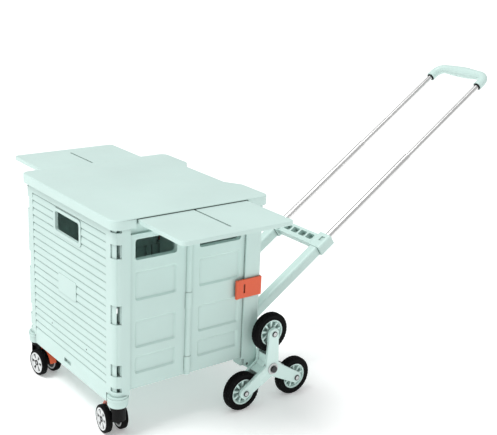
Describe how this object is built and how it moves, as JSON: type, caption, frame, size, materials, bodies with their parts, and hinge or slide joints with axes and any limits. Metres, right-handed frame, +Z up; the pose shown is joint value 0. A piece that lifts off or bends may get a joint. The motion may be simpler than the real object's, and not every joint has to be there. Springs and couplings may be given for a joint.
{
  "type": "stair climbing folding trolley",
  "caption": "Folding box trolley with three-wheel stair climbing stars, swivel casters, lift-off lid with slide-out boards and telescopic handle",
  "frame": {"origin": "on the floor, under the middle of the trolley's bounding box", "axes": "+Z up, +Y towards the handle along the trolley's length, +X to its right seen from behind the front panel's outside"},
  "size_m": [0.7, 1.1702, 0.6411],
  "materials": {
    "mint_panel": "moulded polypropylene, light texture",
    "mint_lid": "moulded polypropylene, fine grain",
    "mint_handle": "moulded polypropylene, satin",
    "orange_plastic": "satin",
    "black_plastic": "satin",
    "silver_plastic": "metallic paint",
    "tyre_black": "matt rubber",
    "tube_chrome": "bright drawn tube",
    "pin_steel": "zinc plated"
  },
  "bodies": {
    "rear": {"rear_panel": "mint_panel", "rear_pins": "pin_steel", "wheel_axle": "pin_steel", "axle_caps": "pin_steel"},
    "front": {"front_panel": "mint_panel", "front_pins": "pin_steel", "caster_sockets": "mint_panel"},
    "floor": {"floor_panel": "mint_panel"},
    "rear_leaf_left": {"rear_leaf_left": "mint_panel", "mid_hinge_pin_left": "pin_steel"},
    "rear_leaf_right": {"rear_leaf_right": "mint_panel", "mid_hinge_pin_right": "pin_steel"},
    "front_leaf_left": {"front_leaf_left": "mint_panel"},
    "front_leaf_right": {"front_leaf_right": "mint_panel"},
    "latch_left": {"side_latch_left": "orange_plastic"},
    "latch_right": {"side_latch_right": "orange_plastic"},
    "lid": {"lid_shell": "mint_lid", "lid_rails": "mint_lid"},
    "board_left": {"board_left": "mint_lid"},
    "board_right": {"board_right": "mint_lid"},
    "handle": {"handle_sleeves": "mint_handle", "handle_bridge": "mint_handle"},
    "handle_stage_1": {"outer_tubes": "tube_chrome", "tube_bushes": "black_plastic", "tube_rivets": "pin_steel"},
    "handle_stage_2": {"inner_tubes": "tube_chrome", "inner_tube_feet": "black_plastic", "grip_upper": "mint_handle", "grip_lower": "mint_handle", "grip_screws": "pin_steel", "grip_collars": "black_plastic"},
    "grip_button": {"grip_button": "mint_handle"},
    "star_left": {"star_outer_left": "mint_panel", "star_inner_left": "mint_panel", "wheel_bolts_left": "pin_steel"},
    "wheel_1_left": {"tyre_1_left": "tyre_black", "rim_1_left": "mint_panel"},
    "wheel_2_left": {"tyre_2_left": "tyre_black", "rim_2_left": "mint_panel"},
    "wheel_3_left": {"tyre_3_left": "tyre_black", "rim_3_left": "mint_panel"},
    "caster_left": {"caster_housing_left": "black_plastic", "caster_axle_left": "pin_steel"},
    "caster_left_wheels": {"caster_tyres_left": "tyre_black", "caster_rims_left": "silver_plastic"},
    "caster_left_pedal": {"caster_pedal_left": "orange_plastic"},
    "star_right": {"star_outer_right": "mint_panel", "star_inner_right": "mint_panel", "wheel_bolts_right": "pin_steel"},
    "wheel_1_right": {"tyre_1_right": "tyre_black", "rim_1_right": "mint_panel"},
    "wheel_2_right": {"tyre_2_right": "tyre_black", "rim_2_right": "mint_panel"},
    "wheel_3_right": {"tyre_3_right": "tyre_black", "rim_3_right": "mint_panel"},
    "caster_right": {"caster_housing_right": "black_plastic", "caster_axle_right": "pin_steel"},
    "caster_right_wheels": {"caster_tyres_right": "tyre_black", "caster_rims_right": "silver_plastic"},
    "caster_right_pedal": {"caster_pedal_right": "orange_plastic"}
  },
  "joints": [
    {"name": "body_fold", "type": "hinge", "parent": "rear", "child": "rear_leaf_left", "pos_m": [-0.181, -0.26082, 0.25], "axis": [0, 0, 1], "range_deg": [0, 87.5]},
    {"name": "left_mid_hinge", "type": "hinge", "parent": "rear_leaf_left", "child": "front_leaf_left", "pos_m": [-0.189, -0.40832, 0.25], "axis": [0, 0, 1], "range_deg": [-175, 0]},
    {"name": "left_front_hinge", "type": "hinge", "parent": "front_leaf_left", "child": "front", "pos_m": [-0.181, -0.55582, 0.25], "axis": [0, 0, 1], "range_deg": [0, 87.5]},
    {"name": "right_rear_hinge", "type": "hinge", "parent": "rear", "child": "rear_leaf_right", "pos_m": [0.181, -0.26082, 0.25], "axis": [0, 0, 1], "range_deg": [-87.5, 0]},
    {"name": "right_mid_hinge", "type": "hinge", "parent": "rear_leaf_right", "child": "front_leaf_right", "pos_m": [0.189, -0.40832, 0.25], "axis": [0, 0, 1], "range_deg": [0, 175]},
    {"name": "floor_fold", "type": "hinge", "parent": "front", "child": "floor", "pos_m": [0, -0.56532, 0.093], "axis": [1, 0, 0], "range_deg": [0, 90]},
    {"name": "latch_left_turn", "type": "hinge", "parent": "rear", "child": "latch_left", "pos_m": [-0.19, -0.23682, 0.261], "axis": [0, 0, -1], "range_deg": [0, 100]},
    {"name": "latch_right_turn", "type": "hinge", "parent": "rear", "child": "latch_right", "pos_m": [0.19, -0.23682, 0.261], "axis": [0, 0, 1], "range_deg": [0, 100]},
    {"name": "lid_lift", "type": "slide", "parent": "rear", "child": "lid", "axis": [0, 0, 1], "range_m": [0, 0.08]},
    {"name": "board_left_slide", "type": "slide", "parent": "lid", "child": "board_left", "axis": [1, 0, 0], "range_m": [0, 0.145]},
    {"name": "board_right_slide", "type": "slide", "parent": "lid", "child": "board_right", "axis": [-1, 0, 0], "range_m": [0, 0.145]},
    {"name": "handle_swing", "type": "hinge", "parent": "rear", "child": "handle", "pos_m": [0, -0.23132, 0.112], "axis": [1, 0, 0], "range_deg": [0, 56]},
    {"name": "stage_1_slide", "type": "slide", "parent": "handle", "child": "handle_stage_1", "axis": [0, 0.829, 0.5592], "range_m": [-0.245, 0]},
    {"name": "stage_2_slide", "type": "slide", "parent": "handle_stage_1", "child": "handle_stage_2", "axis": [0, 0.829, 0.5592], "range_m": [-0.255, 0]},
    {"name": "grip_button_press", "type": "slide", "parent": "handle_stage_2", "child": "grip_button", "axis": [0, -0.829, -0.5592], "range_m": [0, 0.003], "stiffness_N_per_m": 400},
    {"name": "star_left_spin", "type": "hinge", "parent": "rear", "child": "star_left", "pos_m": [-0.22, -0.22232, 0.082], "axis": [1, 0, 0], "continuous": true},
    {"name": "wheel_1_left_roll", "type": "hinge", "parent": "star_left", "child": "wheel_1_left", "pos_m": [-0.2215, -0.22232, 0.1615], "axis": [1, 0, 0], "continuous": true},
    {"name": "wheel_2_left_roll", "type": "hinge", "parent": "star_left", "child": "wheel_2_left", "pos_m": [-0.2215, -0.29117, 0.04225], "axis": [1, 0, 0], "continuous": true},
    {"name": "wheel_3_left_roll", "type": "hinge", "parent": "star_left", "child": "wheel_3_left", "pos_m": [-0.2215, -0.15347, 0.04225], "axis": [1, 0, 0], "continuous": true},
    {"name": "caster_left_swivel", "type": "hinge", "parent": "front", "child": "caster_left", "pos_m": [-0.178, -0.56132, 0.06], "axis": [0, 0, 1], "continuous": true},
    {"name": "caster_left_roll", "type": "hinge", "parent": "caster_left", "child": "caster_left_wheels", "pos_m": [-0.15011, -0.55888, 0.029], "axis": [-0.0872, 0.9962, 0], "continuous": true},
    {"name": "caster_left_brake", "type": "hinge", "parent": "caster_left", "child": "caster_left_pedal", "pos_m": [-0.16405, -0.5601, 0.054], "axis": [-0.0872, 0.9962, 0], "range_deg": [0, 12], "stiffness_Nm_per_rad": 0.5},
    {"name": "star_right_spin", "type": "hinge", "parent": "rear", "child": "star_right", "pos_m": [0.22, -0.22232, 0.082], "axis": [1, 0, 0], "continuous": true},
    {"name": "wheel_1_right_roll", "type": "hinge", "parent": "star_right", "child": "wheel_1_right", "pos_m": [0.2215, -0.22232, 0.1615], "axis": [1, 0, 0], "continuous": true},
    {"name": "wheel_2_right_roll", "type": "hinge", "parent": "star_right", "child": "wheel_2_right", "pos_m": [0.2215, -0.29117, 0.04225], "axis": [1, 0, 0], "continuous": true},
    {"name": "wheel_3_right_roll", "type": "hinge", "parent": "star_right", "child": "wheel_3_right", "pos_m": [0.2215, -0.15347, 0.04225], "axis": [1, 0, 0], "continuous": true},
    {"name": "caster_right_swivel", "type": "hinge", "parent": "front", "child": "caster_right", "pos_m": [0.178, -0.56132, 0.06], "axis": [0, 0, 1], "continuous": true},
    {"name": "caster_right_roll", "type": "hinge", "parent": "caster_right", "child": "caster_right_wheels", "pos_m": [0.15011, -0.55888, 0.029], "axis": [-0.0872, -0.9962, 0], "continuous": true},
    {"name": "caster_right_brake", "type": "hinge", "parent": "caster_right", "child": "caster_right_pedal", "pos_m": [0.16405, -0.5601, 0.054], "axis": [-0.0872, -0.9962, 0], "range_deg": [0, 12], "stiffness_Nm_per_rad": 0.5}
  ],
  "couplings": [
    {"joint": "left_mid_hinge", "follows": "body_fold", "ratio": -2},
    {"joint": "left_front_hinge", "follows": "body_fold", "ratio": 1},
    {"joint": "right_rear_hinge", "follows": "body_fold", "ratio": -1},
    {"joint": "right_mid_hinge", "follows": "body_fold", "ratio": 2}
  ]
}
